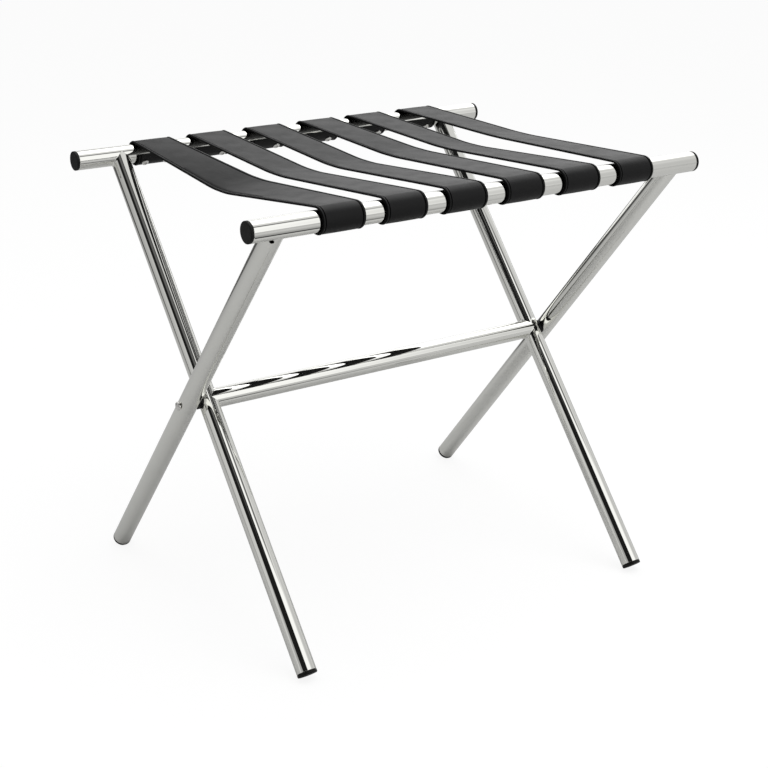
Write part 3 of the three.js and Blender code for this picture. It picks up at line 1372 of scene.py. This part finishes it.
    def lay(self, bm: Shape, line: StrapLine) -> None:
        """Lays the flat half strap on its line, with the tilt of its slack edge, as far along as it has slid.

        Args:
            bm: the flat half strap.
            line: the line.
        """
        half = self.plan.width / 2
        across = Vector((-line.inward, 0.0, 0.0))
        for vert in bm.verts:
            x, s, lift = vert.co
            point, up = line.at(s)
            slack = 1.0 - line.share(min(s / line.span, 1.0))
            vert.co = point + x * across + lift * up
            vert.co.z += self.plan.slack.tilt / 2 * slack * (vert.co.x - self.plan.x) / half
        front, back = self.plan.slack.slid
        slide = Matrix.Identity(4)
        slide[0][1] = (back - front) / 2 / self.plan.sizes.rail_y
        slide[0][3] = (back + front) / 2
        place(bm, slide)
        bmesh.ops.recalc_face_normals(bm, faces=bm.faces)


@dataclass
class StrapScrews:
    """The domed cross-recess screws that hold the strap ends to the rails."""

    sizes: RackSizes
    finishes: Finishes
    spread: float = 0.0137
    angle: float = math.radians(316.0)
    shank_r: float = 0.0015
    head_r: float = 0.0042
    head_height: float = 0.0021
    tip: float = 0.004
    press: float = 0.0003
    slot_half: float = 0.0019
    slot_width: float = 0.0008
    dome_turn: float = 82.0
    dome_steps: int = 7
    sides: int = 32

    def build(self, plans: Sequence[StrapPlan], rail: Rail, body: Body) -> None:
        """Sets two screws through the end of every strap on one rail.

        Args:
            plans: the straps.
            rail: the rail.
            body: the body that the rail rides on.
        """
        model = self.model(plans[0], rail)
        away = Vector((0.0, rail.value * math.cos(self.angle), math.sin(self.angle)))
        turn = away.to_track_quat("Z", "X").to_matrix().to_4x4()
        for plan in plans:
            seat = plan.seat(rail, self.angle) + self.sizes.clear - self.press
            for side in Side:
                x = plan.x + side.value * self.spread
                axis = Vector((x, -rail.value * self.sizes.rail_y, self.sizes.rail_z))
                node = f"{rail.word}_strap_{plan.number}_screw_{side.word}"
                mesh = model.data.copy()
                mesh.transform(Matrix.Translation(axis + seat * away) @ turn)
                fix(added(f"{node}_domed", mesh), body, "bright_fastener", node)
        bpy.data.objects.remove(model)

    def model(self, plan: StrapPlan, rail: Rail) -> Piece:
        """Turns one screw, head up, and cuts its cross recess.

        Args:
            plan: any strap, for the length that the screw has to reach.
            rail: the rail that it reaches into.

        Returns:
            The screw as a loose object.
        """
        length = plan.seat(rail, self.angle) + self.sizes.clear - self.sizes.bore_r + self.tip
        rim = self.head_height * RIM_SHARE
        profile = [
            (0.0, -length),
            (self.shank_r, self.tip / 2 - length),
            (self.shank_r, 0.0),
            *domed_head(self.head_r, self.head_height, rim, self.dome_turn, self.dome_steps),
        ]
        screw = settle(turned(profile, self.sides), "screw_model", [self.finishes.steel])
        long, narrow, deep = 2 * self.slot_half, self.slot_width, self.head_height
        for across, along in ((long, narrow), (narrow, long)):
            recess = bmesh.new()
            bmesh.ops.create_cube(recess, size=1.0, matrix=Matrix.Diagonal((across, along, deep, 1.0)))
            place(recess, Matrix.Translation((0.0, 0.0, deep)))
            bored(screw, recess)
        return screw


STRAP_SLACK = (
    Slack(0.0169, 0.0077, -0.008, (0.0026, 0.0008)),
    Slack(0.0142, -0.0013, 0.0, (0.0011, -0.0002)),
    Slack(0.0142, -0.0008, 0.005, (0.0006, 0.0014)),
    Slack(0.0101, 0.0008, 0.005, (0.0003, 0.0030)),
    Slack(0.0108, -0.0026, 0.002, (0.0011, -0.0007)),
    Slack(0.0064, -0.0024, 0.004, (0.0022, 0.0026)),
)


@dataclass
class Sling:
    """The six straps and the screws that hold them."""

    sizes: RackSizes
    finishes: Finishes

    def build(self) -> None:
        """Builds every strap, then its screws on both rails."""
        plans = [StrapPlan(number, slack, self.sizes) for number, slack in enumerate(STRAP_SLACK, start=1)]
        bodies = {Rail.BACK: (Body.INNER, Body.MIDDLE), Rail.FRONT: (Body.MIDDLE, Body.OUTER)}
        for plan in plans:
            Strap(plan, self.finishes, bodies).build()
        screws = StrapScrews(self.sizes, self.finishes)
        screws.build(plans, Rail.BACK, Body.INNER)
        screws.build(plans, Rail.FRONT, Body.OUTER)


@dataclass(frozen=True)
class PhotoCamera:
    """The camera that was fitted to the photo's tube edges."""

    spot: Triple = (-0.9357, -1.3811, 0.8336)
    yaw: float = 0.5608
    pitch: float = -0.3474
    roll: float = -0.0102
    lens: float = 69.65
    film: float = 36.0
    shift: Point = (0.0692, -0.0051)

    def build(self) -> None:
        """Adds the camera and makes it the scene's own."""
        data = bpy.data.cameras.new("photo_camera")
        data.lens = self.lens
        data.sensor_width = self.film
        data.shift_x, data.shift_y = self.shift
        camera = added("photo_camera", data)
        flat = math.cos(self.pitch)
        ahead = Vector((math.sin(self.yaw) * flat, math.cos(self.yaw) * flat, math.sin(self.pitch)))
        right = Vector((math.cos(self.yaw), -math.sin(self.yaw), 0.0))
        up = right.cross(ahead)
        c, s = math.cos(self.roll), math.sin(self.roll)
        turn = Matrix((c * right + s * up, c * up - s * right, -ahead)).transposed().to_4x4()
        camera.matrix_world = Matrix.Translation(self.spot) @ turn
        bpy.context.scene.camera = camera


@dataclass(frozen=True)
class Band:
    """A soft-edged patch or band of the studio that glossy surfaces mirror.

    It comes in along `towards`, where the cosine to that direction is between the two figures of `start`.
    A band also lies along the great circle that is square to `pole`: it is full where the cosine to the
    pole is within the first figure of `width`, and gone past the second one. A patch has a width past 1,
    so it is a plain cone.
    """

    towards: Triple
    start: Point
    level: float
    pole: Triple = (0.0, 0.0, 1.0)
    width: Point = (2.0, 3.0)


@dataclass(frozen=True)
class FloorTone:
    """The floor's tone in the chrome at one depth, on the left and on the right."""

    y: float
    left: float
    right: float


STUDIO_BANDS = (
    Band((0.50, 0.26, 0.82), (0.88, 0.98), 2.1),  # soft box over the sling
    Band((0.15, 0.85, 0.50), (0.90, 0.98), 0.5),  # darker wall behind the left straps
    Band((-1.0, 0.3, -0.25), (0.34, 0.62), 0.40),  # grey on the left
    Band((0.70, 0.70, 0.12), (0.90, 0.99), 1.4),  # window behind the right end
    Band((1.0, -0.35, 0.35), (0.80, 0.97), 0.74),  # grey on the right
    Band((0.85, -0.5, 0.15), (0.84, 0.98), 0.56),  # deeper grey inside it
    Band((0.0, 0.81, 0.58), (0.02, 0.06), 0.64, (0.0, 0.81, 0.58), (0.05, 0.55)),  # rail wash
    Band((0.40, -0.54, 0.74), (0.97, 0.999), 0.15, (0.0, 0.81, 0.58), (0.06, 0.10)),  # rail streak
    Band((-0.3, -0.75, 0.6), (0.45, 0.7), 0.012, (-0.830, 0.425, -0.364), (0.43, 0.48)),  # leg streak
    Band((-0.36, -0.40, 0.84), (0.965, 0.995), 0.13),  # its paler end, on the left inner leg
)

FLOOR_TONES = (
    FloorTone(-6.0, 1.0, 0.9),
    FloorTone(-2.5, 0.90, 0.75),
    FloorTone(-1.4, 0.58, 0.64),
    FloorTone(-0.9, 0.40, 0.58),
    FloorTone(-0.61, 0.32, 0.54),
    # the near-black step on the left, from -0.58 to -0.46, is a painted shadow line on the floor, seen only
    # in the chrome
    FloorTone(-0.58, 0.03, 0.54),
    FloorTone(-0.46, 0.03, 0.54),
    FloorTone(-0.43, 0.66, 0.54),
    FloorTone(-0.2, 0.56, 0.54),
    FloorTone(0.9, 0.54, 0.53),
    FloorTone(1.9, 0.50, 0.48),
    FloorTone(2.3, 0.14, 0.14),
    FloorTone(3.0, 0.12, 0.12),
)


@dataclass
class Studio:
    """White sweep, soft overhead light and the studio that the chrome mirrors."""

    bands: tuple[Band, ...] = STUDIO_BANDS
    base: float = 1.08
    fill: float = 0.6
    floor_half: float = 30.0
    floor_drop: float = 0.0002
    floor_seen: float = 0.95
    floor_glow: float = 1.04
    floor_glow_share: float = 0.84
    floor_across: Point = (0.1, 0.5)
    floor_tones: tuple[FloorTone, ...] = FLOOR_TONES
    lamp_size: float = 2.6
    lamp_power: float = 34.0
    lamp_spot: Triple = (0.5, -0.5, 2.6)
    lamp_turn: Triple = (math.radians(12.0), math.radians(11.0), 0.0)

    def build(self) -> None:
        """Builds the floor, the lights and the world."""
        bpy.context.scene.view_settings.view_transform = "Standard"
        self.build_floor()
        self.build_lamps()
        self.build_world()

    def build_floor(self) -> None:
        """A wide pale floor that stays white to the camera and keeps a soft shadow."""
        bm = bmesh.new()
        bmesh.ops.create_grid(bm, x_segments=1, y_segments=1, size=self.floor_half)
        place(bm, Matrix.Translation((0.0, 0.0, -self.floor_drop)))
        material = bpy.data.materials.new("studio_floor")
        material.use_nodes = True
        board = NodeBoard(material.node_tree)
        rays = board.add("ShaderNodeLightPath")
        tone = board.add("ShaderNodeMix", data_type="RGBA")
        tone.inputs[COLOUR_A].default_value = (self.floor_seen,) * 3 + (1.0,)
        board.join(rays, "Is Glossy Ray", tone, 0)
        board.join(self.mirrored_floor(board), COLOUR_OUT, tone, COLOUR_B)
        matt = board.add("ShaderNodeBsdfDiffuse")
        board.join(tone, COLOUR_OUT, matt, "Color")
        white = board.add("ShaderNodeEmission", {"Color": (1.0, 1.0, 1.0, 1.0), "Strength": self.floor_glow})
        share = board.add("ShaderNodeMath", {1: self.floor_glow_share}, operation="MULTIPLY")
        board.join(rays, "Is Camera Ray", share, 0)
        both = board.add("ShaderNodeMixShader")
        board.join(share, 0, both, 0)
        board.join(matt, 0, both, 1)
        board.join(white, 0, both, 2)
        board.join(both, 0, board.add("ShaderNodeOutputMaterial"), "Surface")
        floor = settle(bm, "studio_floor", [material])

    def mirrored_floor(self, board: NodeBoard) -> Node:
        """Adds the floor's tone in the chrome, by its place from front to back and from left to right.

        Args:
            board: the floor's nodes.

        Returns:
            The node that mixes the two tones.
        """
        parts = board.add("ShaderNodeSeparateXYZ")
        board.join(board.add("ShaderNodeTexCoord"), "Object", parts, 0)
        near, far = self.floor_tones[0].y, self.floor_tones[-1].y
        depth = board.span(parts, "Y", 0.0, 1.0, (near, far))
        across = board.span(parts, "X", 0.0, 1.0, self.floor_across)
        mix = board.add("ShaderNodeMix", data_type="RGBA")
        board.join(across, 0, mix, 0)
        places = [(tone.y - near) / (far - near) for tone in self.floor_tones]
        left = [tone.left for tone in self.floor_tones]
        right = [tone.right for tone in self.floor_tones]
        for socket, greys in ((COLOUR_A, left), (COLOUR_B, right)):
            board.join(board.ramp(depth, 0, list(zip(places, greys))), 0, mix, socket)
        return mix

    def build_lamps(self) -> None:
        """One large soft lamp overhead, kept out of the mirrored studio."""
        data = bpy.data.lights.new("overhead", "AREA")
        data.shape = "DISK"
        data.size = self.lamp_size
        data.energy = self.lamp_power
        lamp = added("overhead", data)
        lamp.location = self.lamp_spot
        lamp.rotation_euler = self.lamp_turn
        lamp.visible_glossy = False

    def build_world(self) -> None:
        """White to the camera, even to matt surfaces, and a studio of soft bands to the chrome."""
        world = bpy.data.worlds.new("studio")
        bpy.context.scene.world = world
        world.use_nodes = True
        board = NodeBoard(world.node_tree)
        rays = board.add("ShaderNodeLightPath")
        looks = board.add("ShaderNodeTexCoord")
        mirrored: Node = board.add("ShaderNodeValue")
        mirrored.outputs[0].default_value = self.base
        for band in self.bands:
            mirrored = self.lay_band(board, looks, mirrored, band)
        matt = board.add("ShaderNodeMix", {VALUE_A: self.fill}, data_type="FLOAT")
        board.join(rays, "Is Glossy Ray", matt, 0)
        board.join(mirrored, 0, matt, VALUE_B)
        seen = board.add("ShaderNodeMix", {VALUE_B: 1.0}, data_type="FLOAT")
        board.join(rays, "Is Camera Ray", seen, 0)
        board.join(matt, 0, seen, VALUE_A)
        sky = board.add("ShaderNodeBackground", {"Color": (1.0, 1.0, 1.0, 1.0)})
        board.join(seen, 0, sky, "Strength")
        board.join(sky, 0, board.add("ShaderNodeOutputWorld"), "Surface")

    @staticmethod
    def lay_band(board: NodeBoard, looks: Node, under: Node, band: Band) -> Node:
        """Lays one band over the studio so far.

        Args:
            board: the world's nodes.
            looks: the node that gives the direction.
            under: the level so far.
            band: the band.

        Returns:
            The node that gives the new level.
        """
        shares = []
        for axis, reads in ((band.pole, band.width[::-1]), (band.towards, band.start)):
            dot = board.add("ShaderNodeVectorMath", {1: Vector(axis).normalized()}, operation="DOT_PRODUCT")
            board.join(looks, "Generated", dot, 0)
            if not shares:
                size = board.add("ShaderNodeMath", operation="ABSOLUTE")
                board.join(dot, "Value", size, 0)
                dot = size
            soft = board.add("ShaderNodeMapRange", {"From Min": reads[0], "From Max": reads[1]},
                             interpolation_type="SMOOTHSTEP")
            board.join(dot, "Value", soft, "Value")
            shares.append(soft)
        both = board.add("ShaderNodeMath", operation="MULTIPLY")
        board.join(shares[0], 0, both, 0)
        board.join(shares[1], 0, both, 1)
        mix = board.add("ShaderNodeMix", {VALUE_B: band.level}, data_type="FLOAT")
        board.join(both, 0, mix, 0)
        board.join(under, 0, mix, VALUE_A)
        return mix


def main() -> None:
    """Builds the studio and the rack, piece by piece."""
    logging.basicConfig(level=logging.INFO, format="%(name)s: %(message)s")
    sizes = RackSizes()
    PhotoCamera().build()
    Studio().build()
    finishes = Finishes()
    TubeFrame(sizes, finishes, Rail.BACK, Body.INNER, "inner", sizes.inner_x, vented=False).build()
    TubeFrame(sizes, finishes, Rail.FRONT, Body.OUTER, "outer", sizes.outer_x, vented=True).build()
    CrossTube(sizes, finishes).build()
    PivotBolts(sizes, finishes).build()
    Sling(sizes, finishes).build()


if __name__ == "__main__":
    main()
